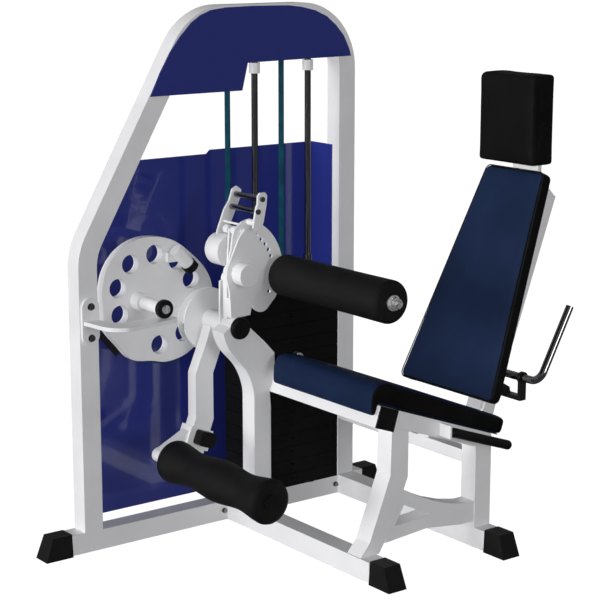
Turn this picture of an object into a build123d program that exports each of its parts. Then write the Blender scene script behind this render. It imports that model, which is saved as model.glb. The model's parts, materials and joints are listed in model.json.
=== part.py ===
from build123d import *
import math
import os

# Seated leg extension machine with a guarded weight tower.
# Axes: +Z up, the user faces -Y, +X runs from the weight tower to the seat.
# The tower's +X face and the middle of its base are the construction origin;
# the finished parts are shifted so that the origin is the middle of the floor plan.

os.makedirs("parts", exist_ok=True)

# ---- driving dimensions, mm ------------------------------------------------
TUBE = 62.0            # square frame tube
WALL = 3.0             # tube wall
FLOOR_GAP = 4.0        # tubes clear the floor by this, the rubber feet touch it
SHIFT_X = -326.0       # construction origin to centre of the floor plan
SHIFT_Y = -163.5
TOWER_LEFT = -482.0    # centre of the left upright
TOWER_RIGHT = 481.0    # centre of the right upright
TOWER_TOP = 1582.0     # centre of the top run
BEAM_FRONT = 36.0      # centre of the front beam
BEAM_END = 707.0       # length of both floor beams
KNEE_Y, KNEE_Z = -54.0, 661.0      # knee pivot axis
THIGH_Y, THIGH_Z = -50.0, 828.0    # thigh arm pivot axis
CAM_Y, CAM_Z = -291.0, 743.0       # cam disc shaft
SHIN_Y, SHIN_Z = -257.0, 268.0     # shin roller axis
ROLL_Y, ROLL_Z = 95.0, 811.0       # thigh roller axis
ROD_X = -13.0          # plane of belts, rods and stack
ROD_YS = (128.0, 333.0)
PLATE_PITCH = 44.4     # one weight plate and its gap
PLATE_COUNT = 15
LIFTED = 6             # plates above the selector pin
STACK_Z = 80.0
PIN_UP = 30.0          # selector holes above each plate's underside
STACK_X = (-68.0, 42.0)
STACK_Y = (47.0, 413.0)
SEAT_SLOPE = -0.362    # rail drop per mm rearward
SEAT_X = (180.0, 664.0)
BACK_X = 422.0         # middle of seat and backrest
HINGE_Y, HINGE_Z = 683.0, 322.0    # backrest hinge axis
LEAN = 0.376           # back post, mm rearward per mm up
HANDLE_Y, HANDLE_Z = 812.0, 440.0  # release handle axis
PULLEY_Z = 1495.0
PULLEY_YS = (72.0, 185.0)
PULLEY_R = 43.0

parts = {}


def put(name, *shapes):
    """Add the shapes to a node; separate solids stay separate."""
    parts.setdefault(name, []).extend(shapes)


def box(x0, x1, y0, y1, z0, z1):
    size = Box(x1 - x0, y1 - y0, z1 - z0)
    return Pos((x0 + x1) / 2, (y0 + y1) / 2, (z0 + z1) / 2) * size


def cyl(r, x0, x1, y, z):
    """Round bar along X."""
    return Pos((x0 + x1) / 2, y, z) * Rot(0, 90, 0) * Cylinder(r, x1 - x0)


def rod_z(r, z0, z1, x, y):
    return Pos(x, y, (z0 + z1) / 2) * Cylinder(r, z1 - z0)


def plate(points, x0, x1):
    """Flat plate of outline (y, z), from x0 to x1."""
    wire = Wire.make_polygon([(x0, y, z) for y, z in points])
    return Part() + Solid.extrude(Face(wire), Vector(x1 - x0, 0, 0))


def sheet_xy(points, z0, z1):
    wire = Wire.make_polygon([(x, y, z0) for x, y in points])
    return Part() + Solid.extrude(Face(wire), Vector(0, 0, z1 - z0))


def bent_tube(points, radius, size=TUBE, wall=WALL):
    """Square tube swept in the tower plane, x from -size to 0."""
    path = FilletPolyline(*[(-size / 2, y, z) for y, z in points], radius=radius)
    where = Plane(origin=path @ 0, x_dir=(1, 0, 0), z_dir=path % 0)
    outer = sweep(where * Rectangle(size, size), path=path)
    inner = sweep(where * Rectangle(size - 2 * wall, size - 2 * wall), path=path)
    return outer - inner


def straight_tube(x0, x1, y0, y1, z0, z1, axis, wall=WALL):
    w = [wall, wall, wall]
    w[axis] = -1.0
    inner = box(x0 + w[0], x1 - w[0], y0 + w[1], y1 - w[1], z0 + w[2], z1 - w[2])
    return box(x0, x1, y0, y1, z0, z1) - inner


def polar(cy, cz, r, deg):
    a = math.radians(deg)
    return (cy + r * math.cos(a), cz + r * math.sin(a))


def bolt_x(x0, y, z, r=9.0):
    """Hex bolt head standing on a +X face, with its washer."""
    washer = cyl(r * 1.25, x0, x0 + 2, y, z)
    head = Pos(x0 + 5.5, y, z) * Rot(0, 90, 0) * extrude(RegularPolygon(r, 6), amount=3.5, both=True)
    return washer + head


# ---- floor frame -------------------------------------------------------------
def floor_frame():
    z0 = FLOOR_GAP
    z1 = FLOOR_GAP + TUBE
    put("base_tube", straight_tube(-TUBE, 0, -556, 553, z0, z1, 1))
    put("floor_beams", straight_tube(0, BEAM_END, 5, 67, z0, z1, 0))
    put("floor_beams", straight_tube(0, BEAM_END, 450, 512, z0, z1, 0))


def foot(length, width=66.0, height=70.0):
    """Tapered rubber end shoe, its tube face at local y = 0, growing towards -Y."""
    base = Pos(0, -length / 2, 0) * Rectangle(width, length)
    top = Pos(0, -length * 0.36, height) * Rectangle(width * 0.86, length * 0.72)
    body = loft([base.faces()[0], top.faces()[0]])
    return body


def feet():
    x_mid = -TUBE / 2
    put(
        "rubber_feet",
        Pos(x_mid, -556, 0) * foot(90),
        Pos(x_mid, 553, 0) * Rot(0, 0, 180) * foot(83),
        Pos(BEAM_END, BEAM_FRONT, 0) * Rot(0, 0, 90) * foot(91),
        Pos(BEAM_END, 481, 0) * Rot(0, 0, 90) * foot(89),
    )


# ---- tower --------------------------------------------------------------------
def tower():
    bottom = FLOOR_GAP + TUBE
    knee = (TOWER_LEFT, 911.0)
    shoulder = (-112.0, 1543.0)
    lower = (-252.0, 1308.0)
    put("left_upright", bent_tube([(TOWER_LEFT, bottom), knee, lower], 170))
    arch = [lower, (-92.0, TOWER_TOP), (TOWER_RIGHT, TOWER_TOP), (TOWER_RIGHT, 1290)]
    put("top_arch", bent_tube(arch, 180))
    put("right_upright", straight_tube(-TUBE, 0, 450, 512, bottom, 1290, 2))
    return shoulder


def header():
    """Painted front fascia across the top of the tower, with a stepped lower edge."""
    outline = [
        (-258, 1355), (71, 1355), (92, 1438), (493, 1442), (484, 1468), (462, 1508), (432, 1540),
        (396, 1568), (350, 1588), (297, 1600), (248, 1606), (114, 1608), (13, 1606), (-40, 1600),
        (-78, 1586), (-111, 1565), (-152, 1525), (-190, 1478), (-225, 1420),
    ]
    put("header_panel", plate(outline, 0, 4))


def shroud():
    """Rear safety guard: a bent sheet behind the stack, standing off the frame."""
    outline = [
        (-452, 61), (450, 61), (450, 1160), (49, 1162), (36, 1150), (-300, 1150),
        (-345, 1100), (-444, 880), (-452, 850),
    ]
    back = plate(outline, -146, -143)
    side = box(-143, -36, 447, 450, 67, 1160)
    put("rear_shroud", back + side)


def stack_guides():
    for_rods = [rod_z(10, 66, 1440, ROD_X, y) for y in ROD_YS]
    put("guide_rods", *for_rods)
    collars = [rod_z(17, 1404, 1436, ROD_X, y) - rod_z(10, 1400, 1441, ROD_X, y) for y in ROD_YS]
    put("pulley_carrier", *collars)
    put("pulley_carrier", straight_tube(-62, -32, -120, 450, 1440, 1464, 1),
        *[box(-32, 0 - 0.5, y - 16, y + 16, 1440, 1446) for y in ROD_YS])
    buffers = [rod_z(24, 66, STACK_Z - 0.5, ROD_X - 0.0, y) - rod_z(10, 60, 90, ROD_X, y) for y in ROD_YS]
    put("rubber_feet", *[b for b in buffers])


def weight_plate(index):
    z0 = STACK_Z + index * PLATE_PITCH
    body = box(STACK_X[0], STACK_X[1], STACK_Y[0], STACK_Y[1], z0, z0 + PLATE_PITCH - 1.2)
    for y in ROD_YS:
        body -= rod_z(11, z0 - 5, z0 + 60, ROD_X, y)
    body -= cyl(6, 5, 60, (STACK_Y[0] + STACK_Y[1]) / 2, z0 + PIN_UP)
    if index == PLATE_COUNT - LIFTED:
        body -= cyl(6, -30, 60, (STACK_Y[0] + STACK_Y[1]) / 2, z0 + PIN_UP)
    return body


def stack():
    split = PLATE_COUNT - LIFTED
    put("resting_plates", *[weight_plate(i) for i in range(split)])
    put("lifted_plates", *[weight_plate(i) for i in range(split, PLATE_COUNT)])
    top = STACK_Z + PLATE_COUNT * PLATE_PITCH
    mid = (STACK_Y[0] + STACK_Y[1]) / 2
    bushings = [
        rod_z(14, top - 1.2, top + 75, ROD_X, y) - rod_z(11, top - 9, top + 80, ROD_X, y) for y in ROD_YS
    ]
    hook = box(-28, 0, mid - 24, mid + 24, top - 1.2, top + 26)
    put("lift_head", *bushings)
    put("lift_head", hook)
    z_pin = STACK_Z + split * PLATE_PITCH + PIN_UP
    stem = cyl(5, -20, 56, mid, z_pin)
    knob = cyl(19, 56, 80, mid, z_pin)
    put("selector_pin", stem + fillet(knob.edges(), 3))


def top_pulleys():
    for name, y in zip(("front_top_pulley", "rear_top_pulley"), PULLEY_YS):
        wheel = cyl(PULLEY_R, -28, -0.6, y, PULLEY_Z) + cyl(PULLEY_R + 6, -30, -27.6, y, PULLEY_Z)
        wheel -= cyl(6.5, -40, 10, y, PULLEY_Z)
        put(name, wheel)
    hangers = []
    for y in PULLEY_YS:
        leg = box(-40, -34, y - 16, y + 16, 1464, PULLEY_Z + 16)
        hangers.append(leg + cyl(6, -34, -0.6, y, PULLEY_Z))
    put("pulley_carrier", *hangers)


def belts():
    """Flat drive belt: dish, up the front run, over both top pulleys, down to the stack."""
    x0, x1 = -27.0, -1.0
    r = PULLEY_R + 0.5
    top = STACK_Z + PLATE_COUNT * PLATE_PITCH
    y_front = PULLEY_YS[0] - r
    y_rear = PULLEY_YS[1] + r
    half = []
    for cy, side in ((PULLEY_YS[0], -1), (PULLEY_YS[1], 1)):
        ring = cyl(r + 3, x0, x1, cy, PULLEY_Z) - cyl(r, x0 - 1, x1 + 1, cy, PULLEY_Z)
        keep = box(x0, x1, min(cy, cy + side * 60), max(cy, cy + side * 60), PULLEY_Z, PULLEY_Z + 60)
        half.append(ring & keep)
    bridge = box(x0, x1, PULLEY_YS[0], PULLEY_YS[1], PULLEY_Z + r, PULLEY_Z + r + 3)
    front = box(x0, x1, y_front - 3, y_front, KNEE_Z, PULLEY_Z)
    wrap_r = 79.5
    ring = cyl(wrap_r + 3, x0, x1, KNEE_Y, KNEE_Z) - cyl(wrap_r, x0 - 1, x1 + 1, KNEE_Y, KNEE_Z)
    sector = plate([(KNEE_Y, KNEE_Z), polar(KNEE_Y, KNEE_Z, 150, 0), polar(KNEE_Y, KNEE_Z, 190, -60),
                    polar(KNEE_Y, KNEE_Z, 190, -120), polar(KNEE_Y, KNEE_Z, 150, -175)], x0, x1)
    put("drive_belt", front + half[0] + bridge + half[1], ring & sector)
    put("stack_belt", box(x0, x1, y_rear, y_rear + 3, top + 26, PULLEY_Z))


# ---- cam disc and its bearing shelf ---------------------------------------------
def cam_disc():
    """Oval disc on its own shaft, a ring of round windows and a flat with a belt clamp."""
    cy, cz = -224.0, 737.0
    radii = [(5, 204), (21, 195), (31, 188), (50, 181), (62, 184), (76, 189), (92, 195), (109, 203),
             (131, 208), (150, 204), (172, 192), (188, 189)]
    spline_pts = [polar(cy, cz, r, a) for a, r in radii]
    flat = [(-412, 700), (-352, 602), (-318, 566)]
    low = [(264, 188), (276, 197), (288, 204), (300, 210), (315, 212), (330, 210), (348, 206)]
    spline_pts += flat + [polar(cy, cz, r, a) for a, r in low]
    rim = Spline(*[(-65, y, z) for y, z in spline_pts], periodic=True)
    body = Part() + Solid.extrude(Face(Wire([rim])), Vector(29, 0, 0))
    ring = [(92, 141), (127, 150), (159, 145), (193, 134), (273, 140), (310, 148), (340, 140), (22, 134),
            (57, 136)]
    for a, r in ring:
        y, z = polar(cy, cz, r, a)
        body -= cyl(29, -70, -30, y, z)
    body += cyl(27, -36, 4, CAM_Y, CAM_Z) + cyl(19.5, 4, 103.4, CAM_Y, CAM_Z)
    body -= cyl(13.2, -80, 110, CAM_Y, CAM_Z)
    body += cyl(20, -36, -33.5, -151, 689)
    put("cam_disc", body)
    run = [(262, 191), (270, 195.5), (278, 200.5), (286, 205), (292, 208.5)]
    outer = [polar(cy, cz, r + 3, a) for a, r in run]
    inner = [polar(cy, cz, r, a) for a, r in reversed(run)]
    put("cam_belt", plate(outer + inner, -62, -39))
    shaft = cyl(12.7, -70, 123, CAM_Y, CAM_Z)
    put("cam_shaft", shaft)
    bearing = cyl(28, 104, 119, CAM_Y, CAM_Z) - cyl(13.2, 70, 130, CAM_Y, CAM_Z)
    bearing = fillet(bearing.faces().sort_by(Axis.X)[-1].edges().sort_by(SortBy.LENGTH)[-1], 4)
    put("outboard_bearing", bearing)
    put("cam_rubbers", plate([(-399, 655), (-340, 585), (-352, 574), (-412, 644)], -70, -65))


def bumper():
    y, z = -150.0, 866.0
    tilt = math.degrees(math.atan2(-0.73, 0.68))
    base = Pos(-8, y, z) * Rot(tilt, 0, 0)
    tube = base * Rot(90, 0, 0) * Cylinder(20, 66)
    end = base * Pos(0, 44, 0) * Rot(90, 0, 0) * Cylinder(23, 22)
    put("cam_disc", tube + plate([(-190, 850), (-120, 850), (-120, 880), (-190, 880)], -36, -20))
    put("cam_rubbers", end)


def rounded_strap(x0, x1, z0, z1):
    """Upright bolting strap with half round ends."""
    r = (-452 + 509) / 2
    mid = -480.5
    body = box(x0, x1, mid - r, mid + r, z0 + r, z1 - r)
    return body + cyl(r, x0, x1, mid, z0 + r) + cyl(r, x0, x1, mid, z1 - r)


def shelf():
    front = [(0, -509), (80, -496), (122, -485), (145, -465), (157, -439), (152, -402), (148, -365),
             (143, -328), (130, -257)]
    back = [(70, -257), (84, -330), (92, -400), (88, -425), (70, -440), (0, -452)]
    outer = Spline(*[(x, y, 703) for x, y in front])
    inner = Spline(*[(x, y, 703) for x, y in back])
    ends = [Line(outer @ 1, inner @ 0), Line(inner @ 1, outer @ 0)]
    sheet = Part() + Solid.extrude(Face(Wire([outer.edge(), ends[0].edge(), inner.edge(), ends[1].edge()])),
                                   Vector(0, 0, 12))
    put("bearing_shelf", sheet + rounded_strap(0, 10, 642, 783))
    put("frame_bolts", bolt_x(10, -480, 757), bolt_x(10, -480, 663))


# ---- knee pivot -------------------------------------------------------------------
def knee_post():
    sweep_up = [(0, 440), (-12, 490), (-40, 540), (-83, 587), (-104, 625), (-111, 652)]
    rest = [(-111, 652), (-54, 690), (-14, 656), (40, 606), (76, 567), (78, 508), (58, 447), (62, 400), (62, 66),
            (0, 66), (0, 440)]
    front = Spline(*[(94, y, z) for y, z in sweep_up])
    back = Polyline(*[(94, y, z) for y, z in rest])
    outline = Face(Wire([*front.edges(), *back.edges()]))
    body = Part() + Solid.extrude(outline, Vector(62, 0, 0))
    body += cyl(34, 90, 157, KNEE_Y, KNEE_Z)
    body -= cyl(15, 80, 170, KNEE_Y, KNEE_Z)
    put("knee_post", body)
    put("pivot_shafts", cyl(15, -35, 157, KNEE_Y, KNEE_Z))
    cap = cyl(34, 157, 170, KNEE_Y, KNEE_Z)
    put("end_caps", fillet(cap.faces().sort_by(Axis.X)[-1].edges(), 8))


def lever():
    """Swinging leg lever: hub, dish for the belt and the bent arm down to the shin roller."""
    hub = cyl(33, 2.6, 89.4, KNEE_Y, KNEE_Z) - cyl(15.5, 0, 100, KNEE_Y, KNEE_Z)
    put("lever_hub", hub)
    dish = cyl(97, -33, -29.5, KNEE_Y, KNEE_Z) + cyl(79, -29.5, -0.5, KNEE_Y, KNEE_Z)
    dish += cyl(97, -0.5, 2.6, KNEE_Y, KNEE_Z)
    dish -= cyl(15.5, -50, 10, KNEE_Y, KNEE_Z)
    put("lever_dish", dish)
    front = [(-84, 660), (-95, 622), (-143, 510), (-144, 372), (-172, 300), (-186, 262)]
    rear = [(-124, 238), (-110, 276), (-79, 358), (-79, 504), (-24, 640), (-30, 690)]
    arm = plate(front + rear, 8, 50) - plate(
        [(-91, 600), (-140, 509), (-141, 373), (-169, 300), (-183, 262), (-127, 241), (-113, 277),
         (-82, 359), (-82, 505), (-45, 600)], 11, 47)
    arm -= cyl(33, 0, 100, KNEE_Y, KNEE_Z)
    put("lever_arm", arm)
    put("lever_arm", plate([(-184.5, 264), (-125.5, 240), (-127.5, 235), (-186.5, 259)], 9, 49))


def shin_carrier():
    """Sleeve sliding on the arm, its forward bracket, axle and the dark clamp block."""
    def along(t, s):
        d = (-0.362, -0.932)
        n = (-0.932, 0.362)
        return (-133.8 + d[0] * t + n[0] * s, 307.6 + d[1] * t + n[1] * s)
    outer = plate([along(-30, -42), along(-30, 42), along(34, 42), along(34, -42)], 2.0, 56)
    inner = plate([along(-60, -35.6), along(-60, 34.4), along(90, 34.4), along(90, -35.6)], 7.5, 50.5)
    sleeve = outer - inner
    arm = plate([along(-14, 41), along(24, 41), (SHIN_Y + 4, SHIN_Z - 19), (SHIN_Y - 6, SHIN_Z + 21)], 12, 46)
    boss = cyl(22, 8, 60, SHIN_Y, SHIN_Z)
    body = sleeve + arm + boss
    body -= cyl(12, 0, 100, SHIN_Y, SHIN_Z)
    put("shin_sleeve", body)
    put("shin_axle", cyl(12, 8, 595, SHIN_Y, SHIN_Z))
    block = plate([along(-26, -34), along(-26, 22), along(20, 22), along(20, -34)], 56, 92)
    block = fillet(block.edges().filter_by(Axis.X), 9)
    put("clamp_block", block)
    put("roller_plug", cyl(24, 595.5, 601, SHIN_Y, SHIN_Z))


def lobed(x0, x1, y, z, r_end, r_waist, r_mid):
    """Three lobed foam roller about an X axis."""
    n = 48
    pts = []
    bore = 12.6
    for i in range(n + 1):
        u = i / n
        blend = 0.5 + 0.5 * math.cos(4 * math.pi * u)
        crest = r_end if (u < 0.25 or u > 0.75) else r_mid
        r = r_waist + (crest - r_waist) * blend
        edge = min(u, 1 - u) * (x1 - x0)
        if edge < 14:
            r -= (14 - math.sqrt(max(14 ** 2 - (14 - edge) ** 2, 0))) * 0.8
        pts.append((x0 + u * (x1 - x0), r))
    curve = Spline(*[(px, y, z + pr) for px, pr in pts])
    a = Line((x1, y, z + pts[-1][1]), (x1, y, z + bore))
    b = Line((x1, y, z + bore), (x0, y, z + bore))
    c = Line((x0, y, z + bore), (x0, y, z + pts[0][1]))
    face = make_face([curve, a, b, c])
    return revolve(face, Axis((0, y, z), (1, 0, 0)), 360)


def rollers():
    put("shin_roller", lobed(95, 595, SHIN_Y, SHIN_Z, 66, 54, 63))
    foam = cyl(63, 176, 692, ROLL_Y, ROLL_Z)
    foam = fillet(foam.edges(), 14) - cyl(12.6, 100, 720, ROLL_Y, ROLL_Z)
    put("thigh_roller", foam)


# ---- thigh arm ----------------------------------------------------------------------
def thigh_support():
    """Fixed post above the knee tube, its ear plate, pivot stub and plunger bracket."""
    post = box(118, 138, -86, -16, 690, 828) + cyl(30, 110.5, 138, THIGH_Y, THIGH_Z)
    post += cyl(26, 92, 119, -50, 804)
    post -= cyl(34, 80, 170, KNEE_Y, KNEE_Z)
    post += box(138, 152, -86, -58, 697, 756)
    post -= cyl(15, 80, 170, THIGH_Y, THIGH_Z)
    put("thigh_post", post)
    ear = plate([
        (-86, 697), (-16, 697), (-6, 742), (25, 778), (50, 815), (52, 842), (44, 874), (22, 918),
        (0, 952), (-14, 964), (-34, 960), (-56, 934), (-98, 846), (-100, 820), (-90, 775)], 152, 160)
    ear -= cyl(34, 80, 170, KNEE_Y, KNEE_Z)
    ear -= cyl(15, 80, 170, THIGH_Y, THIGH_Z)
    put("thigh_post", ear)
    put("pivot_shafts", cyl(15, 110.5, 160, THIGH_Y, THIGH_Z))
    stub = cyl(35, 160, 206, THIGH_Y, THIGH_Z)
    put("thigh_post", fillet(stub.faces().sort_by(Axis.X)[-1].edges(), 2))
    put("thigh_post", plate([(-88, 670), (-86, 800), (-76, 804), (-58, 780), (-58, 697)], 96, 104)
        - cyl(34, 80, 170, KNEE_Y, KNEE_Z) - cyl(26, 80, 170, -50, 804))
    holder = plate([(-72, 815), (-28, 815), (-30, 958), (-45, 964), (-60, 958)], 110, 118)
    holder -= cyl(30, 80, 170, THIGH_Y, THIGH_Z)
    py, pz = polar(THIGH_Y, THIGH_Z, 126, 88)
    holder += cyl(13, 118, 134, py, pz)
    holder -= cyl(6.5, 80, 170, py, pz)
    put("thigh_post", holder)
    pin = cyl(6, 84, 139.5, py, pz) + fillet(cyl(13, 76, 100, py, pz).edges(), 3)
    put("plunger", pin)


def thigh_arm():
    """Moving indexed sector, twin plates with cross pins, balance weight and roller axle."""
    outline = [polar(THIGH_Y, THIGH_Z, 163, a) for a in range(78, -38, -4)]
    lobe_y, lobe_z = polar(THIGH_Y, THIGH_Z, 127, -49)
    outline += [polar(lobe_y, lobe_z, 34, a) for a in range(-36, -200, -12)]
    outline += [polar(THIGH_Y, THIGH_Z, 66, -28)]
    outline += [(-2, 795), (-34, 786), (-66, 786), (-92, 812), (-92, 842), (-76, 900), (-70, 940)]
    outline += [(-62, 962), (-36, 982)]
    sector = plate(outline, 141, 149)
    for k in range(8):
        y, z = polar(THIGH_Y, THIGH_Z, 126, 88 - 10 * k)
        sector -= cyl(6.6, 130, 160, y, z)
    hy, hz = polar(THIGH_Y, THIGH_Z, 132, -32)
    sector -= cyl(6.5, 130, 160, hy, hz)
    sector -= cyl(15.5, 130, 160, THIGH_Y, THIGH_Z)
    sector -= cyl(12, 130, 160, ROLL_Y, ROLL_Z)
    put("index_sector", sector)
    left = plate([(-74, 880), (-66, 947), (-40, 1010), (-22, 1034), (-10, 1068), (6, 1076), (22, 1064),
                  (18, 1040), (-2, 1000), (-28, 946), (-26, 880)], 56, 64)
    weight = cyl(49.5, 40, 108, -50, 890)
    put("grip_plate", left - weight)
    put("balance_weight", fillet(weight.edges(), 3))
    right = plate([(-30, 968), (-24, 1000), (-18, 1028), (-13, 1038), (-12, 1062), (-4, 1071), (14, 1071),
                   (21, 1062), (18, 1030), (15, 1018), (8, 985), (2, 968), (-12, 958)], 190, 198)
    put("grip_plate", right)
    put("grip_plate", cyl(10, 149, 190, -12, 980))
    put("cross_pins", cyl(9, 64, 190, 2, 1052), cyl(9, 64, 190, -14, 1016))
    put("cross_pins", cyl(8, 198, 203, 2, 1052), cyl(8, 198, 203, -14, 1016))
    put("grip_plate", cyl(3.5, 64, 141, -42, 974))
    put("roller_axle", cyl(12, 141, 722, ROLL_Y, ROLL_Z))
    nut = Pos(697, ROLL_Y, ROLL_Z) * Rot(0, 90, 0) * extrude(RegularPolygon(19, 6), amount=12)
    end = cyl(23, 692.5, 697, ROLL_Y, ROLL_Z) + nut + cyl(14, 709, 718, ROLL_Y, ROLL_Z)
    end -= cyl(12, 600, 800, ROLL_Y, ROLL_Z)
    put("roller_axle", end)


# ---- seat and back --------------------------------------------------------------------
def rail_top(y):
    return 484.0 + SEAT_SLOPE * (y - 143.0)


def seat_frame():
    bar = [(78, 508), (141, 485), (122, 424), (58, 447)]
    tube = plate(bar, 156, 664) - plate([(80.5, 504), (137.5, 483), (120, 428), (62, 449)], 160, 665)
    put("seat_rails", tube)
    put("end_caps", plate(bar, 664, 670))
    rail = plate([(141.5, rail_top(141.5)), (512, rail_top(512)), (512, rail_top(512) - 53), (126.4, rail_top(126.4) - 53)],
                 602, 664)
    core = plate([(150, rail_top(150) - 4), (520, rail_top(520) - 4), (520, rail_top(520) - 49),
                  (150, rail_top(150) - 49)], 605, 661)
    put("seat_rails", rail - core)
    mid = plate([(141.5, rail_top(141.5)), (704, rail_top(704)), (704, rail_top(704) - 53), (126.4, rail_top(126.4) - 53)],
                BACK_X - 31, BACK_X + 31)
    mid_core = plate([(150, rail_top(150) - 4), (720, rail_top(720) - 4), (720, rail_top(720) - 49),
                      (150, rail_top(150) - 49)], BACK_X - 28, BACK_X + 28)
    put("centre_rail", mid - mid_core)
    put("centre_rail", plate([(452, 297), (486, 297), (486, rail_top(486) - 53), (452, rail_top(452) - 53)],
        BACK_X - 25, BACK_X + 25))
    leg = [(9, 66), (42, 104), (117, 292), (121.8, 423.8), (126.4, rail_top(126.4) - 53),
           (184, rail_top(184) - 53), (183, 279), (127, 142), (77, 66)]
    put("leg_frame", plate(leg, 602, 664) - plate([(16, 64), (46, 104), (120, 291), (126, 420), (181, 410),
        (180, 280), (124, 144), (74, 64)], 606, 660))
    brace = plate([(100, 92), (260, 104), (399, 87), (450, 87), (450, 149), (416, 149), (350, 162), (284, 184),
                   (230, 209), (160, 246)], 604, 662)
    brace -= plate([(172, 195), (222, 168), (280, 144), (210, 140), (138, 136)], 590, 680)
    put("leg_frame", brace - plate(leg, 600, 670))
    post = plate([(450, 66), (450, rail_top(450) - 53), (512, rail_top(512) - 53), (512, 66)], 602, 664)
    put("leg_frame", post - box(605, 661, 453, 509, 60, 288))
    put("centre_rail", straight_tube(0, 602, 450, 488, 259, 297, 0))


def seat_pad():
    top = [(44, 488), (45, 536), (56, 559), (73, 570), (110, 567), (150, 552), (580, 381),
           (563, rail_top(563) + 4)]
    low = [(141, rail_top(141) + 4), (80, 512), (74.5, 505), (64, 474), (50, 474)]
    cushion = plate(top + low, SEAT_X[0], SEAT_X[1])
    put("seat_cushion", cushion)
    board = plate([(142, rail_top(142)), (548, rail_top(548)), (548, rail_top(548) + 3.6), (142, rail_top(142) + 3.6)],
                  SEAT_X[0] + 12, SEAT_X[1] - 12)
    put("seat_board", board)


def grips():
    """Side hand grips parallel to the seat rails."""
    ang = math.degrees(math.atan(-0.35))
    both = []
    plates = []
    for x, face in ((700.0, 664.0), (144.0, 192.0)):
        mid = Pos(x, 435, 356) * Rot(ang, 0, 0) * Rot(90, 0, 0)
        grip = mid * Cylinder(14.5, 254)
        both.append(fillet(grip.edges(), 8))
        lo, hi = min(x, face), max(x, face)
        for y in (350.0, 520.0):
            z = 356 - 0.35 * (y - 435)
            core = cyl(8, lo, hi, y, z)
            plates.append(core - grip)
    put("hand_grips", *both)
    put("grip_brackets", *plates)
    put("grip_brackets", box(664, 712, 303.5, 309.5, 380, 420))
    inner = plate([(340, rail_top(340)), (540, rail_top(540)), (530, 305), (340, 366)], 192, 198)
    put("grip_brackets", inner)


def back_line(z):
    return 538.0 + 0.424 * (z - 443.0)


def backrest():
    """Tapered back pad on a board, carried by the leaning post."""
    lean = math.degrees(math.atan(0.424))
    frame = Pos(BACK_X, 538, 443) * Rot(-lean, 0, 0)
    low, high = -14.0, 722.0
    profile = Polyline((-219, low), (-132, high), (132, high), (219, low), close=True)
    outline = make_face(profile)
    outline = fillet(outline.vertices(), 22)
    pad = extrude(outline, amount=42)
    stand = frame * Rot(90, 0, 0) * Pos(0, 0, -42)
    put("back_cushion", stand * pad)
    board_face = make_face(Polyline((-195, 12), (-117, 688), (117, 688), (195, 12), close=True))
    put("back_board", frame * Rot(90, 0, 0) * Pos(0, 0, -50) * extrude(board_face, amount=8))


def back_post():
    lean = math.degrees(math.atan(LEAN))
    def mid(z):
        return 698.0 + LEAN * (z - 372.0)
    z0, z1 = 352.0, 1004.0
    half = 33.0
    outline = [(mid(z0) - half, z0), (mid(z0) + half, z0), (mid(z1) + half, z1), (mid(z1) - half, z1)]
    core = [(mid(z0 - 20) - half + 3, z0 - 20), (mid(z0 - 20) + half - 3, z0 - 20),
            (mid(z1 - 4) + half - 3, z1 - 4), (mid(z1 - 4) - half + 3, z1 - 4)]
    put("back_post", plate(outline, BACK_X - 31, BACK_X + 31) - plate(core, BACK_X - 28, BACK_X + 28))
    arms = []
    for x in (BACK_X - 37, BACK_X + 31):
        cheek = plate([(HINGE_Y - 24, HINGE_Z - 8), (HINGE_Y, HINGE_Z - 22), (HINGE_Y + 24, HINGE_Z - 8),
                       (mid(430) + 24, 430), (mid(430) - 24, 430)], x, x + 6)
        arms.append(cheek - cyl(10.5, x - 5, x + 15, HINGE_Y, HINGE_Z))
    put("back_brackets", *arms)
    lug = plate([(HINGE_Y - 21, rail_top(HINGE_Y - 21)), (HINGE_Y - 18, HINGE_Z + 10), (HINGE_Y, HINGE_Z + 20),
                 (HINGE_Y + 18, HINGE_Z + 10), (HINGE_Y + 20, rail_top(HINGE_Y + 20))], BACK_X - 28, BACK_X + 28)
    put("centre_rail", lug - cyl(10, 300, 500, HINGE_Y, HINGE_Z))
    put("pivot_shafts", cyl(10, BACK_X - 42, BACK_X + 42, HINGE_Y, HINGE_Z))
    spacers = []
    for z in (520.0, 900.0):
        y_rear = back_line(z) + 53.5
        block = plate([(y_rear + 0.0, z - 20), (mid(z - 20) - half, z - 20 + 0.0), (mid(z + 20) - half, z + 20),
                       (y_rear + 17.0, z + 20)], BACK_X - 40, BACK_X + 40)
        spacers.append(block)
    put("back_brackets", *spacers)
    bracket = []
    for x in (BACK_X - 68, BACK_X + 56):
        bracket.append(box(x, x + 12, HANDLE_Y - 14, HANDLE_Y + 12, 378, 426))
    rail = box(BACK_X - 68, BACK_X + 68, HANDLE_Y - 14, HANDLE_Y + 12, 366, 380)
    arm = plate([(mid(432) + half, 432), (mid(400) + half, 400), (HANDLE_Y - 14, 366), (HANDLE_Y + 4, 366),
                 (HANDLE_Y - 4, 400)], BACK_X - 10, BACK_X + 10)
    body = rail + bracket[0] + bracket[1] + arm
    eyes = []
    for x in (BACK_X - 68, BACK_X + 56):
        eyes.append(cyl(19, x, x + 12, HANDLE_Y, HANDLE_Z))
    body = body + eyes[0] + eyes[1] - cyl(13.1, 300, 600, HANDLE_Y, HANDLE_Z)
    put("handle_bracket", body)
    del lean


def release_handle():
    tip = (HANDLE_Y + 126.0, HANDLE_Z + 228.0)
    path = FilletPolyline((BACK_X - 74, HANDLE_Y, HANDLE_Z), (BACK_X + 138, HANDLE_Y, HANDLE_Z),
                          (BACK_X + 138, tip[0], tip[1]), radius=36)
    where = Plane(origin=path @ 0, z_dir=path % 0)
    put("release_handle", sweep(where * Circle(12.5), path=path))


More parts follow.
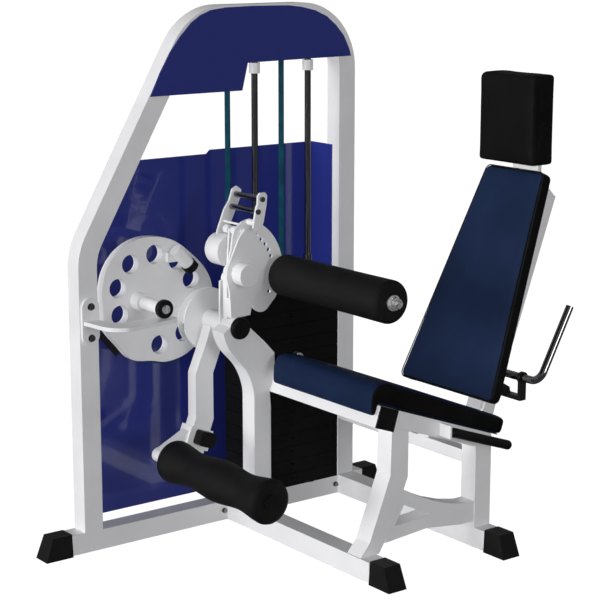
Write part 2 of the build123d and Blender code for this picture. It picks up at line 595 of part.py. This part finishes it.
def headrest():
    plate_body = box(BACK_X - 57, BACK_X + 57, 862, 876, 1012, 1330)
    put("head_stem", plate_body)
    guide = box(BACK_X - 63, BACK_X + 63, 856, 884, 1006, 1060)
    guide -= box(BACK_X - 57.5, BACK_X + 57.5, 861.5, 876.5, 1000, 1080)
    shoe = plate([(884, 1006), (884, 1060), (940, 1030), (964, 1004), (957, 975), (898, 1004)],
                 BACK_X - 31, BACK_X + 31)
    cut = plate([(840, 900), (985, 900), (985, 1004), (840, 1004)], BACK_X - 60, BACK_X + 60)
    put("back_brackets", guide + (shoe - cut))
    pad = box(BACK_X - 125, BACK_X + 125, 770, 862, 1119, 1403)
    front = pad.faces().sort_by(Axis.Y)[0].edges()
    put("head_cushion", fillet(front, 20))


floor_frame()
feet()
tower()
header()
shroud()
stack_guides()
stack()
top_pulleys()
belts()
cam_disc()
bumper()
shelf()
knee_post()
lever()
shin_carrier()
rollers()
thigh_support()
thigh_arm()
seat_frame()
seat_pad()
grips()
backrest()
back_post()
release_handle()
headrest()
put("frame_bolts", bolt_x(2, -9, 36, 7), bolt_x(2, 80, 36, 7), bolt_x(2, 438, 36, 7), bolt_x(2, 526, 36, 7))

shift = Pos(SHIFT_X, SHIFT_Y, 0)
for name, shapes in parts.items():
    moved = [shift * s for s in shapes]
    solids = []
    for s in moved:
        solids += list(s.solids())
    whole = Compound(label=name, children=solids) if len(solids) > 1 else solids[0]
    export_step(whole, os.path.join("parts", name + ".step"))
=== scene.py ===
"""Looks for the leg extension machine: materials, upholstery, foam rollers, lights and camera."""
import json
import math

import bmesh
import bpy
from mathutils import Matrix, Vector


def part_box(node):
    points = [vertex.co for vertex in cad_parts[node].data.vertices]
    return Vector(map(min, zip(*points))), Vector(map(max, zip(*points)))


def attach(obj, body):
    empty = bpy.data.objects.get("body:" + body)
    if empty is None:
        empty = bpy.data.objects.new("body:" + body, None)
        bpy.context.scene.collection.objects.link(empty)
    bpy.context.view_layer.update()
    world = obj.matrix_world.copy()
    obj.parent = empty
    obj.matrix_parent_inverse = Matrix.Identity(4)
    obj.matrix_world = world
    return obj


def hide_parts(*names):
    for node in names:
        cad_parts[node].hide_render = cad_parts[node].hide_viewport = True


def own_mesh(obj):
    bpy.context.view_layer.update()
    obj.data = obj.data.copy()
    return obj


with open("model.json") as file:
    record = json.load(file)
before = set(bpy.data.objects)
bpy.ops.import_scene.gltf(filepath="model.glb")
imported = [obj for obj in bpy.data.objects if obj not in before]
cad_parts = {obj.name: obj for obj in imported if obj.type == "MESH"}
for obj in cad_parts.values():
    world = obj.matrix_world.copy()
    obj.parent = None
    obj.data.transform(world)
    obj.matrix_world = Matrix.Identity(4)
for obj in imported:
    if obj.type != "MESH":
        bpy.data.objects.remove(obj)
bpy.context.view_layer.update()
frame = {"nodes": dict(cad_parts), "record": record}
NODES = frame["nodes"]
SHIFT = Vector((-0.326, -0.1635, 0.0))   # construction origin to the frame's origin, as in the CAD


def at(x, y, z):
    """Construction millimetres to frame metres."""
    return Vector((x / 1000, y / 1000, z / 1000)) + SHIFT


# ---- materials ----------------------------------------------------------------
def new_material(name, base, rough, metal=0.0, coat=0.0, spec=0.5):
    m = bpy.data.materials.new(name)
    m.use_nodes = True
    bsdf = m.node_tree.nodes["Principled BSDF"]
    bsdf.inputs["Base Color"].default_value = (*base, 1)
    bsdf.inputs["Roughness"].default_value = rough
    bsdf.inputs["Metallic"].default_value = metal
    bsdf.inputs["Coat Weight"].default_value = coat
    bsdf.inputs["Coat Roughness"].default_value = 0.12
    bsdf.inputs["Specular IOR Level"].default_value = spec
    return m, bsdf


def coords(m, space="Object"):
    return m.node_tree.nodes.new("ShaderNodeTexCoord").outputs[space]


def noise(m, scale, detail=3.0, stretch=(1, 1, 1)):
    nt = m.node_tree
    mp = nt.nodes.new("ShaderNodeMapping")
    mp.inputs["Scale"].default_value = stretch
    nt.links.new(coords(m), mp.inputs["Vector"])
    n = nt.nodes.new("ShaderNodeTexNoise")
    n.inputs["Scale"].default_value = scale
    n.inputs["Detail"].default_value = detail
    nt.links.new(mp.outputs["Vector"], n.inputs["Vector"])
    return n.outputs["Fac"]


def ramp(m, fac, low, high, lo_at=0.35, hi_at=0.65):
    r = m.node_tree.nodes.new("ShaderNodeValToRGB")
    r.color_ramp.elements[0].position = lo_at
    r.color_ramp.elements[1].position = hi_at
    r.color_ramp.elements[0].color = (*low, 1)
    r.color_ramp.elements[1].color = (*high, 1)
    m.node_tree.links.new(fac, r.inputs["Fac"])
    return r.outputs["Color"]


def math_node(m, op, a, b=None):
    n = m.node_tree.nodes.new("ShaderNodeMath")
    n.operation = op
    for i, v in enumerate((a, b)):
        if v is None:
            continue
        if isinstance(v, (int, float)):
            n.inputs[i].default_value = v
        else:
            m.node_tree.links.new(v, n.inputs[i])
    return n.outputs[0]


def bump(m, bsdf, height, strength, distance, soft=None):
    nt = m.node_tree
    b = nt.nodes.new("ShaderNodeBump")
    b.inputs["Strength"].default_value = strength
    b.inputs["Distance"].default_value = distance
    nt.links.new(height, b.inputs["Height"])
    if soft:
        bv = nt.nodes.new("ShaderNodeBevel")
        bv.samples = 4
        bv.inputs["Radius"].default_value = soft
        nt.links.new(bv.outputs["Normal"], b.inputs["Normal"])
    nt.links.new(b.outputs["Normal"], bsdf.inputs["Normal"])


def shade(base, k):
    return tuple(min(1.0, c * k) for c in base)


def painted(name, base, rough, coat, soft=0.0016, grain=900, vary=0.04, spec=0.5):
    """Powder coat or gloss enamel: faint tone drift, orange peel, softened edges."""
    m, b = new_material(name, base, rough, coat=coat, spec=spec)
    tone = ramp(m, noise(m, 7), shade(base, 1 - vary), shade(base, 1 + vary / 2))
    m.node_tree.links.new(tone, b.inputs["Base Color"])
    gloss = ramp(m, noise(m, 26, 5), (rough * 0.85,) * 3, (min(1, rough * 1.2),) * 3)
    m.node_tree.links.new(gloss, b.inputs["Roughness"])
    bump(m, b, noise(m, grain, 2), 0.12, 0.0004, soft)
    return m


def metal(name, base, rough, stretch, soft=0.0008):
    """Turned or drawn metal with directional lines."""
    m, b = new_material(name, base, rough, metal=1.0)
    lines = noise(m, 160, 4, stretch)
    tone = ramp(m, lines, shade(base, 0.8), shade(base, 1.15))
    gloss = ramp(m, lines, (rough * 0.7,) * 3, (rough * 1.3,) * 3)
    m.node_tree.links.new(tone, b.inputs["Base Color"])
    m.node_tree.links.new(gloss, b.inputs["Roughness"])
    bump(m, b, lines, 0.08, 0.0003, soft)
    return m


def rubber(name, base, rough, scale=500, depth=0.0006, strength=0.5):
    """Matte black moulding or foam: slow tone drift and a fine cell pattern."""
    m, b = new_material(name, base, rough, spec=0.14)
    tone = ramp(m, noise(m, 18), shade(base, 0.8), shade(base, 1.35))
    m.node_tree.links.new(tone, b.inputs["Base Color"])
    v = m.node_tree.nodes.new("ShaderNodeTexVoronoi")
    v.inputs["Scale"].default_value = scale
    m.node_tree.links.new(coords(m), v.inputs["Vector"])
    bump(m, b, v.outputs["Distance"], strength, depth)
    return m


def vinyl(name, front, side, face_axis, across=False):
    """Leather-like vinyl: pebble grain, creases, one colour on the worn face, one on the border.

    With across, face_axis points out of the border instead, and the front colour covers the rest.
    """
    m, b = new_material(name, front, 0.5, spec=0.03)
    nt = m.node_tree
    worn = ramp(m, noise(m, 6, 5), shade(front, 0.90), shade(front, 1.14))
    edge = ramp(m, noise(m, 9, 4), shade(side, 0.8), shade(side, 1.3))
    dot = nt.nodes.new("ShaderNodeVectorMath")
    dot.operation = "DOT_PRODUCT"
    dot.inputs[1].default_value = face_axis
    nt.links.new(coords(m, "Normal"), dot.inputs[0])
    if across:
        facing = math_node(m, "ABSOLUTE", dot.outputs["Value"])
        mask = ramp(m, facing, (1, 1, 1), (0, 0, 0), 0.62, 0.66)
    else:
        mask = ramp(m, dot.outputs["Value"], (0, 0, 0), (1, 1, 1), 0.86, 0.885)
    mix = nt.nodes.new("ShaderNodeMix")
    mix.data_type = "RGBA"
    nt.links.new(mask, mix.inputs[0])
    nt.links.new(edge, mix.inputs[6])
    nt.links.new(worn, mix.inputs[7])
    nt.links.new(mix.outputs[2], b.inputs["Base Color"])
    v = nt.nodes.new("ShaderNodeTexVoronoi")
    v.inputs["Scale"].default_value = 620
    nt.links.new(coords(m), v.inputs["Vector"])
    crease = math_node(m, "MULTIPLY", noise(m, 34, 6), 0.7)
    height = math_node(m, "ADD", v.outputs["Distance"], crease)
    bump(m, b, height, 0.35, 0.0008)
    gloss = ramp(m, noise(m, 40, 5), (0.44,) * 3, (0.58,) * 3)
    nt.links.new(gloss, b.inputs["Roughness"])
    return m


WHITE = painted("white_powder_coat", (0.80, 0.80, 0.815), 0.36, 0.15)
BLUE = painted("blue_gloss_enamel", (0.0205, 0.0295, 0.208), 0.06, 0.4, 0.001, 60, 0.02)
BLACK_PAINT = painted("black_satin_paint", (0.005, 0.005, 0.0055), 0.35, 0.1, spec=0.3)
STACK = painted("stack_enamel", (0.0025, 0.0025, 0.003), 0.55, 0.0, 0.0012, 300, 0.3, 0.1)
CHROME = metal("dark_chrome", (0.22, 0.22, 0.23), 0.10, (1, 1, 0.05))
STEEL = metal("turned_steel", (0.80, 0.80, 0.81), 0.34, (6, 1, 1))
BLACK_RUBBER = rubber("moulded_rubber", (0.0035, 0.0035, 0.0035), 0.5)
FOAM = rubber("foam_skin", (0.0036, 0.0036, 0.0038), 0.6, 900, 0.0009, 0.7)
PLASTIC = rubber("moulded_plastic", (0.0045, 0.0045, 0.0045), 0.38, 700, 0.0003, 0.25)
BELT = rubber("woven_belt", (0.0008, 0.045, 0.075), 0.5, 420, 0.0006, 0.6)
LEAN = math.atan(0.424)                  # the backrest leans back from the vertical by this angle
BACK_FRONT = (0.0, -math.cos(LEAN), math.sin(LEAN))
# the vinyl's colours: back face, seat face, and the dark border that both share; the seat face is the
# back's navy made slightly darker, as painted shade
NAVY = (0.0102, 0.0198, 0.053)
SEAT_NAVY_SHADED = (0.0088, 0.0178, 0.050)
DARK = (0.0056, 0.0056, 0.0058)
BACK_VINYL = vinyl("back_vinyl", NAVY, DARK, BACK_FRONT)
# the seat's vinyl carries the darker, painted-shade copy of the navy
SEAT_VINYL = vinyl("seat_vinyl", SEAT_NAVY_SHADED, DARK, (1.0, 0.0, 0.0), True)
HEAD_VINYL = vinyl("head_vinyl", DARK, DARK, (0.0, -1.0, 0.0))
# the lever's dish takes a lighter copy of the white paint: painted light for the brighter light on its
# face
DISH_PAINTED_LIGHT = painted("white_coat_painted_light", (0.93, 0.93, 0.94), 0.36, 0.15)
WELT = rubber("welt_cord", (0.006, 0.007, 0.010), 0.6, 900, 0.0003, 0.4)

# the record's material slots, each with its look
LOOKS = {
    "white_paint": WHITE, "blue_paint": BLUE, "navy_vinyl": SEAT_VINYL, "black_vinyl": HEAD_VINYL,
    "black_foam": FOAM, "black_rubber": BLACK_RUBBER, "dark_chrome": CHROME, "bright_steel": STEEL,
    "black_paint": BLACK_PAINT, "belt_teal": BELT, "black_plastic": PLASTIC, "stack_black": STACK,
}
SLOT_OF = {s["node"]: s["material_slot"] for s in frame["record"]["subparts"]}
for node_name, obj in NODES.items():
    # the lever's dish gets the lighter, painted-light copy of the white paint
    look = DISH_PAINTED_LIGHT if node_name == "lever_dish" else LOOKS[SLOT_OF[node_name]]
    for slot in obj.material_slots:
        slot.link = "OBJECT"
        slot.material = look


# ---- mesh helpers ----------------------------------------------------------------
def to_object(name, bm, material, smooth=True):
    bmesh.ops.recalc_face_normals(bm, faces=bm.faces)
    me = bpy.data.meshes.new(name)
    bm.to_mesh(me)
    bm.free()
    me.materials.append(material)
    for p in me.polygons:
        p.use_smooth = smooth
    ob = bpy.data.objects.new(name, me)
    bpy.context.scene.collection.objects.link(ob)
    return ob


def lathe(name, profile, y, z, material, segments=96):
    """Solid of revolution about X; profile is (x mm, radius mm) from end to end."""
    bm = bmesh.new()
    rings = []
    for x, r in profile:
        ring = []
        for k in range(segments):
            a = 2 * math.pi * k / segments
            ring.append(bm.verts.new(at(x, y + r * math.cos(a), z + r * math.sin(a))))
        rings.append(ring)
    for a, b in zip(rings, rings[1:]):
        for k in range(segments):
            j = (k + 1) % segments
            bm.faces.new((a[k], a[j], b[j], b[k]))
    for k in range(segments):
        j = (k + 1) % segments
        bm.faces.new((rings[-1][k], rings[-1][j], rings[0][j], rings[0][k]))
    return to_object(name, bm, material)


def apply_modifiers(ob):
    dg = bpy.context.evaluated_depsgraph_get()
    me = bpy.data.meshes.new_from_object(ob.evaluated_get(dg))
    ob.modifiers.clear()
    old = ob.data
    ob.data = me
    bpy.data.meshes.remove(old)


def tube_along(name, points, radius, material, closed=True, sides=8):
    cu = bpy.data.curves.new(name, "CURVE")
    cu.dimensions = "3D"
    cu.bevel_depth = radius
    cu.bevel_resolution = sides // 4
    sp = cu.splines.new("POLY")
    sp.points.add(len(points) - 1)
    for p, co in zip(sp.points, points):
        p.co = (*co, 1)
    sp.use_cyclic_u = closed
    tmp = bpy.data.objects.new(name + "_path", cu)
    bpy.context.scene.collection.objects.link(tmp)
    dg = bpy.context.evaluated_depsgraph_get()
    me = bpy.data.meshes.new_from_object(tmp.evaluated_get(dg))
    bpy.data.objects.remove(tmp)
    bpy.data.curves.remove(cu)
    me.name = name
    me.materials.clear()
    me.materials.append(material)
    for p in me.polygons:
        p.use_smooth = True
    ob = bpy.data.objects.new(name, me)
    bpy.context.scene.collection.objects.link(ob)
    return ob


def rounded_outline(corners, radii, steps=7):
    """Closed 2-D outline with rounded corners."""
    out = []
    n = len(corners)
    for i in range(n):
        p = Vector(corners[i])
        a = (Vector(corners[i - 1]) - p).normalized()
        b = (Vector(corners[(i + 1) % n]) - p).normalized()
        r = radii[i] if isinstance(radii, (list, tuple)) else radii
        half = a.angle(b) / 2
        reach = r / math.tan(half)
        start, end = p + a * reach, p + b * reach
        for s in range(steps + 1):
            t = s / steps
            out.append(start.lerp(p, t).lerp(p.lerp(end, t), t))
    return out


def inflate(ob, cap, pressure=4.0, frames=20):
    """Cloth inflation of a closed pad. No point moves further than cap, so the form stays true."""
    scene = bpy.context.scene
    rest = [v.co.copy() for v in ob.data.vertices]
    mod = ob.modifiers.new("Cloth", "CLOTH")
    st = mod.settings
    st.quality = 5
    st.mass = 0.3
    st.tension_stiffness = 18
    st.compression_stiffness = 18
    st.shear_stiffness = 8
    st.bending_stiffness = 0.6
    st.use_pressure = True
    st.uniform_pressure_force = pressure
    st.effector_weights.gravity = 0.0
    mod.point_cache.frame_start = 1
    mod.point_cache.frame_end = frames
    for f in range(1, frames + 1):
        scene.frame_set(f)
    apply_modifiers(ob)
    scene.frame_set(1)
    for v, r in zip(ob.data.vertices, rest):
        d = v.co - r
        if d.length > cap:
            v.co = r + d.normalized() * cap
    for p in ob.data.polygons:
        p.use_smooth = True


def soften(ob):
    """Smooth a remeshed pad and divide it once."""
    sm = ob.modifiers.new("Smooth", "SMOOTH")
    sm.iterations = 4
    sub = ob.modifiers.new("Subdivision", "SUBSURF")
    sub.levels = 1
    sub.render_levels = 1


def round_and_remesh(ob, edge, segments, sharpest, voxel):
    """Round every edge sharper than the given angle, then remesh evenly for the cloth."""
    bev = ob.modifiers.new("Bevel", "BEVEL")
    bev.width = edge
    bev.segments = segments
    bev.limit_method = "ANGLE"
    bev.angle_limit = math.radians(sharpest)
    rem = ob.modifiers.new("Remesh", "REMESH")
    rem.mode = "VOXEL"
    rem.voxel_size = voxel
    apply_modifiers(ob)


def pad_mesh(name, place, outline, thick, material, crown, cap, voxel, edge):
    """Upholstered pad: outline in local metres, local +z is the worn face, place maps to the frame."""
    bm = bmesh.new()
    low = [bm.verts.new((p[0], p[1], 0)) for p in outline]
    high = [bm.verts.new((p[0], p[1], thick)) for p in outline]
    bm.faces.new(low[::-1])
    bm.faces.new(high)
    n = len(outline)
    for i in range(n):
        j = (i + 1) % n
        bm.faces.new((low[i], low[j], high[j], high[i]))
    ob = to_object(name, bm, material)
    round_and_remesh(ob, edge, 5, 60, voxel)
    xs = [v.co.x for v in ob.data.vertices]
    ys = [v.co.y for v in ob.data.vertices]
    cx, cy = (min(xs) + max(xs)) / 2, (min(ys) + max(ys)) / 2
    hx, hy = (max(xs) - min(xs)) / 2, (max(ys) - min(ys)) / 2
    for v in ob.data.vertices:
        if v.co.z > thick * 0.5:
            u, w = (v.co.x - cx) / hx, (v.co.y - cy) / hy
            v.co.z += crown * max(0, 1 - u ** 4) * max(0, 1 - w ** 4)
    ob.data.transform(place)
    ob.data.update()
    inflate(ob, cap)
    soften(ob)
    return ob


# ---- foam rollers ------------------------------------------------------------------
BORE = 13.5                              # hole for the axle, radius in mm
END_ROUND = 15                           # rounding at the lobed roller's ends, mm


def lobed_profile(x0, x1, r_end, r_waist, r_mid, steps=72):
    """Three crests and two waists, from the left end to the right."""
    pts = [(x0 + 1.5, BORE), (x0 + 1.0, 26), (x0, 34)]
    for i in range(steps + 1):
        u = i / steps
        blend = 0.5 + 0.5 * math.cos(4 * math.pi * u)
        crest = r_end if (u < 0.25 or u > 0.75) else r_mid
        r = r_waist + (crest - r_waist) * blend
        edge = min(u, 1 - u) * (x1 - x0)
        if edge < END_ROUND:
            r -= END_ROUND - math.sqrt(max(END_ROUND ** 2 - (END_ROUND - edge) ** 2, 0))
        pts.append((x0 + u * (x1 - x0), r))
    return pts + [(x1, 34), (x1 - 1.0, 26), (x1 - 1.5, BORE)]


def straight_profile(x0, x1, r, ring=16, steps=8):
    """Plain roller with rounded ends and a very slight waist."""
    pts = [(x0 + 2, BORE), (x0 + 0.6, 30)]
    for s in range(steps + 1):
        a = math.pi / 2 * s / steps
        pts.append((x0 + ring - ring * math.cos(a), r - ring + ring * math.sin(a)))
    for s in range(1, 24):
        u = s / 24
        pts.append((x0 + ring + (x1 - x0 - 2 * ring) * u, r - 0.8 * math.sin(math.pi * u)))
    for s in range(steps, -1, -1):
        a = math.pi / 2 * s / steps
        pts.append((x1 - ring + ring * math.cos(a), r - ring + ring * math.sin(a)))
    return pts + [(x1 - 0.6, 30), (x1 - 2, BORE)]


def roller(name, profile, y, z, body, node):
    """A foam roller on its axle at (y, z), in place of its CAD solid."""
    ob = lathe(name, profile, y, z, FOAM)
    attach(ob, body)
    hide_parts(node)


roller("shin_foam", lobed_profile(95, 595, r_end=66, r_waist=54, r_mid=63), -257, 268,
       "shin_roll", "shin_roller")
roller("thigh_foam", straight_profile(176, 692, r=63), 95, 811, "thigh_roll", "thigh_roller")


# ---- upholstery ----------------------------------------------------------------------
def place_matrix(origin, x_axis, y_axis):
    z_axis = x_axis.cross(y_axis)
    m = Matrix((x_axis, y_axis, z_axis)).transposed().to_4x4()
    return Matrix.Translation(origin) @ m


def upholster(ob, body, node):
    """Attach a cushion to what it rides on, and hide the CAD part it stands for."""
    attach(ob, body)
    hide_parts(node)


def back_pad():
    """Tapered back cushion with a cord sewn round its face."""
    up = Vector((0, math.sin(LEAN), math.cos(LEAN)))
    side = Vector((1, 0, 0))
    outward = side.cross(up)
    thick = 0.041
    origin = at(422, 538, 443) - outward * (thick + 0.0005)
    place = place_matrix(origin, side, up)
    corners = [(-0.2175, -0.0125), (0.2175, -0.0125), (0.1310, 0.7205), (-0.1310, 0.7205)]
    outline = rounded_outline(corners, [0.026, 0.026, 0.024, 0.024])
    ob = pad_mesh("back_pad", place, outline, thick, BACK_VINYL,
                  crown=0.005, cap=0.004, voxel=0.005, edge=0.008)
    upholster(ob, "backrest", "back_cushion")
    sewn = [(-0.2125, -0.0080), (0.2125, -0.0080), (0.1268, 0.7160), (-0.1268, 0.7160)]
    inset = rounded_outline(sewn, [0.024, 0.024, 0.022, 0.022], 10)
    path = [place @ Vector((p[0], p[1], thick - 0.0005)) for p in inset]
    welt = tube_along("back_welt", path, 0.0018, WELT)
    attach(welt, "backrest")


def head_pad():
    """Block shaped head cushion."""
    side, up = Vector((1, 0, 0)), Vector((0, 0, 1))
    thick = 0.089
    origin = at(422, 861, 1120)
    corners = [(-0.1235, 0.001), (0.1235, 0.001), (0.1235, 0.281), (-0.1235, 0.281)]
    outline = rounded_outline(corners, [0.012, 0.012, 0.012, 0.026])
    ob = pad_mesh("head_pad", place_matrix(origin, side, up), outline, thick, HEAD_VINYL,
                  crown=0.002, cap=0.0018, voxel=0.005, edge=0.018)
    upholster(ob, "headrest", "head_cushion")


def seat_pad():
    """Wedge seat with a rolled front edge: the side profile swept across, then upholstered."""
    def under(y):
        """Height of the cushion's underside, just above the sloping board."""
        return 489.0 - 0.362 * (y - 143.0)
    profile = [(45, 490), (45.5, 532), (53, 553), (65, 565), (84, 569.5), (110, 566), (150, 551),
               (250, 512), (350, 472.5), (450, 432.5), (578, 381),
               (562, under(562)), (300, under(300)), (143, under(143)),
               (80, 513), (74, 505), (63.5, 475), (51, 475)]
    x_left, x_right = 182, 662
    bm = bmesh.new()
    left = [bm.verts.new(at(x_left, y, z)) for y, z in profile]
    right = [bm.verts.new(at(x_right, y, z)) for y, z in profile]
    bm.faces.new(left)
    bm.faces.new(right[::-1])
    n = len(profile)
    for i in range(n):
        j = (i + 1) % n
        bm.faces.new((left[i], right[i], right[j], left[j]))
    ob = to_object("seat_pad", bm, SEAT_VINYL)
    round_and_remesh(ob, edge=0.010, segments=4, sharpest=50, voxel=0.006)
    inflate(ob, cap=0.004)
    soften(ob)
    upholster(ob, "frame", "seat_cushion")


back_pad()
head_pad()
seat_pad()


def stack_strap():
    """Flat belt from the rear pulley down to the stack, in place of its CAD solid."""
    lo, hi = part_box("stack_belt")
    bm = bmesh.new()
    rows, wide = 60, 3
    grid = []
    for i in range(rows + 1):
        z = lo.z + (hi.z - lo.z) * i / rows
        row = []
        for j in range(wide + 1):
            row.append(bm.verts.new((lo.x + (hi.x - lo.x) * j / wide, lo.y, z)))
        grid.append(row)
    for a, b in zip(grid, grid[1:]):
        for j in range(wide):
            bm.faces.new((a[j], a[j + 1], b[j + 1], b[j]))
    ob = to_object("stack_strap", bm, BELT, False)
    thick = ob.modifiers.new("Solidify", "SOLIDIFY")
    thick.thickness = hi.y - lo.y
    thick.offset = 0
    bev = ob.modifiers.new("Bevel", "BEVEL")
    bev.width = 0.0006
    bev.segments = 2
    bev.limit_method = "ANGLE"
    apply_modifiers(ob)
    for v in ob.data.vertices:
        v.co.y += (hi.y - lo.y) / 2
    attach(ob, "frame")
    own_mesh(ob)
    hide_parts("stack_belt")


stack_strap()


# ---- hand grips, ribbed ------------------------------------------------------------------
GRIP_RADIUS, GRIP_HALF, GRIP_END = 0.0145, 0.127, 0.011   # radius, half length, end rounding


def grip(name, x):
    """Rubber hand grip, parallel to the seat's slope, with shallow rings round it."""
    slope = math.atan(-0.35)
    axis = Vector((0, math.cos(slope), math.sin(slope)))
    mid = at(x, 435, 356)
    bm = bmesh.new()
    rings = []
    steps, segs = 84, 32
    u = Vector((1, 0, 0))
    w = axis.cross(u)
    for i in range(steps + 1):
        t = -GRIP_HALF + 2 * GRIP_HALF * i / steps
        edge = GRIP_HALF - abs(t)
        groove = 0.0005 if i % 3 == 0 and 6 < i < steps - 6 else 0.0
        r = GRIP_RADIUS - groove
        if edge < GRIP_END:
            r -= GRIP_END - math.sqrt(max(GRIP_END ** 2 - (GRIP_END - edge) ** 2, 0))
        ring = []
        for k in range(segs):
            a = 2 * math.pi * k / segs
            ring.append(bm.verts.new(mid + axis * t + (u * math.cos(a) + w * math.sin(a)) * r))
        rings.append(ring)
    for a, b in zip(rings, rings[1:]):
        for k in range(segs):
            j = (k + 1) % segs
            bm.faces.new((a[k], a[j], b[j], b[k]))
    bm.faces.new(rings[0][::-1])
    bm.faces.new(rings[-1])
    return to_object(name, bm, BLACK_RUBBER)


grip_objects = [grip("grip_outer", 700), grip("grip_inner", 144)]
for g in grip_objects:
    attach(g, "frame")
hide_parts("hand_grips")


# ---- light, floor, camera --------------------------------------------------------------
KEY, SIDE = 2.95, 1.0            # suns from the front and from the seat side
SKY_LOW, SKY_TOP = 0.30, 0.16    # studio light level at the horizon and overhead
FLOOR_TONE = 0.30                # how much light the floor gives back to the object
SEEN_WHITE = 1.05                # the plain white backdrop and floor, as seen directly


def backdrop():
    """Soft studio light all round, and a plain white behind the object."""
    world = bpy.data.worlds.new("studio")
    bpy.context.scene.world = world
    world.use_nodes = True
    nt = world.node_tree
    tc = nt.nodes.new("ShaderNodeTexCoord")
    split = nt.nodes.new("ShaderNodeSeparateXYZ")
    nt.links.new(tc.outputs["Generated"], split.inputs[0])
    sky = nt.nodes.new("ShaderNodeValToRGB")
    sky.color_ramp.elements[0].position = 0.0
    sky.color_ramp.elements[1].position = 0.9
    sky.color_ramp.elements[0].color = (SKY_LOW, SKY_LOW, SKY_LOW, 1)
    sky.color_ramp.elements[1].color = (SKY_TOP, SKY_TOP, SKY_TOP, 1)
    nt.links.new(split.outputs["Z"], sky.inputs["Fac"])
    path = nt.nodes.new("ShaderNodeLightPath")
    mix = nt.nodes.new("ShaderNodeMix")
    mix.data_type = "RGBA"
    nt.links.new(path.outputs["Is Camera Ray"], mix.inputs[0])
    nt.links.new(sky.outputs["Color"], mix.inputs[6])
    mix.inputs[7].default_value = (SEEN_WHITE, SEEN_WHITE, SEEN_WHITE, 1)
    nt.links.new(mix.outputs[2], nt.nodes["Background"].inputs["Color"])


def floor():
    """A wide pale floor, white where it is seen directly."""
    bm = bmesh.new()
    bmesh.ops.create_grid(bm, x_segments=1, y_segments=1, size=60)
    m = bpy.data.materials.new("floor_white")
    m.use_nodes = True
    nt = m.node_tree
    b = nt.nodes["Principled BSDF"]
    b.inputs["Base Color"].default_value = (FLOOR_TONE, FLOOR_TONE, FLOOR_TONE, 1)
    b.inputs["Roughness"].default_value = 1.0
    b.inputs["Specular IOR Level"].default_value = 0.0
    seen = nt.nodes.new("ShaderNodeEmission")
    seen.inputs["Color"].default_value = (1, 1, 1, 1)
    seen.inputs["Strength"].default_value = SEEN_WHITE
    path = nt.nodes.new("ShaderNodeLightPath")
    pick = nt.nodes.new("ShaderNodeMixShader")
    nt.links.new(path.outputs["Is Camera Ray"], pick.inputs[0])
    nt.links.new(b.outputs[0], pick.inputs[1])
    nt.links.new(seen.outputs[0], pick.inputs[2])
    nt.links.new(pick.outputs[0], nt.nodes["Material Output"].inputs["Surface"])
    ob = to_object("floor", bm, m, False)
    ob.location.z = -0.0005


def lamp(name, energy, soft, turn, shadow):
    """A sun: soft is its angular width and turn its rotation, both in degrees."""
    sun = bpy.data.lights.new(name, "SUN")
    sun.energy = energy
    sun.angle = math.radians(soft)
    sun.use_shadow = shadow
    ob = bpy.data.objects.new(name, sun)
    ob.rotation_euler = tuple(math.radians(t) for t in turn)
    bpy.context.scene.collection.objects.link(ob)


def camera():
    cam = bpy.data.cameras.new("camera")
    cam.lens = 106.2
    cam.sensor_width = 36
    co = bpy.data.objects.new("camera", cam)
    co.location = at(4401.0, -3040.5, 1850.0)
    co.rotation_euler = (math.radians(78), 0, math.radians(52.86))
    bpy.context.scene.collection.objects.link(co)
    bpy.context.scene.camera = co


bpy.context.scene.view_settings.view_transform = "Standard"
backdrop()
floor()
lamp("key", KEY * 0.35, 16, (80, 0, -6), True)
lamp("key_fill", KEY * 0.65, 30, (84, 0, -6), False)
lamp("side", SIDE * 0.4, 14, (80, 0, 92), True)
lamp("side_fill", SIDE * 0.6, 30, (84, 0, 92), False)
camera()
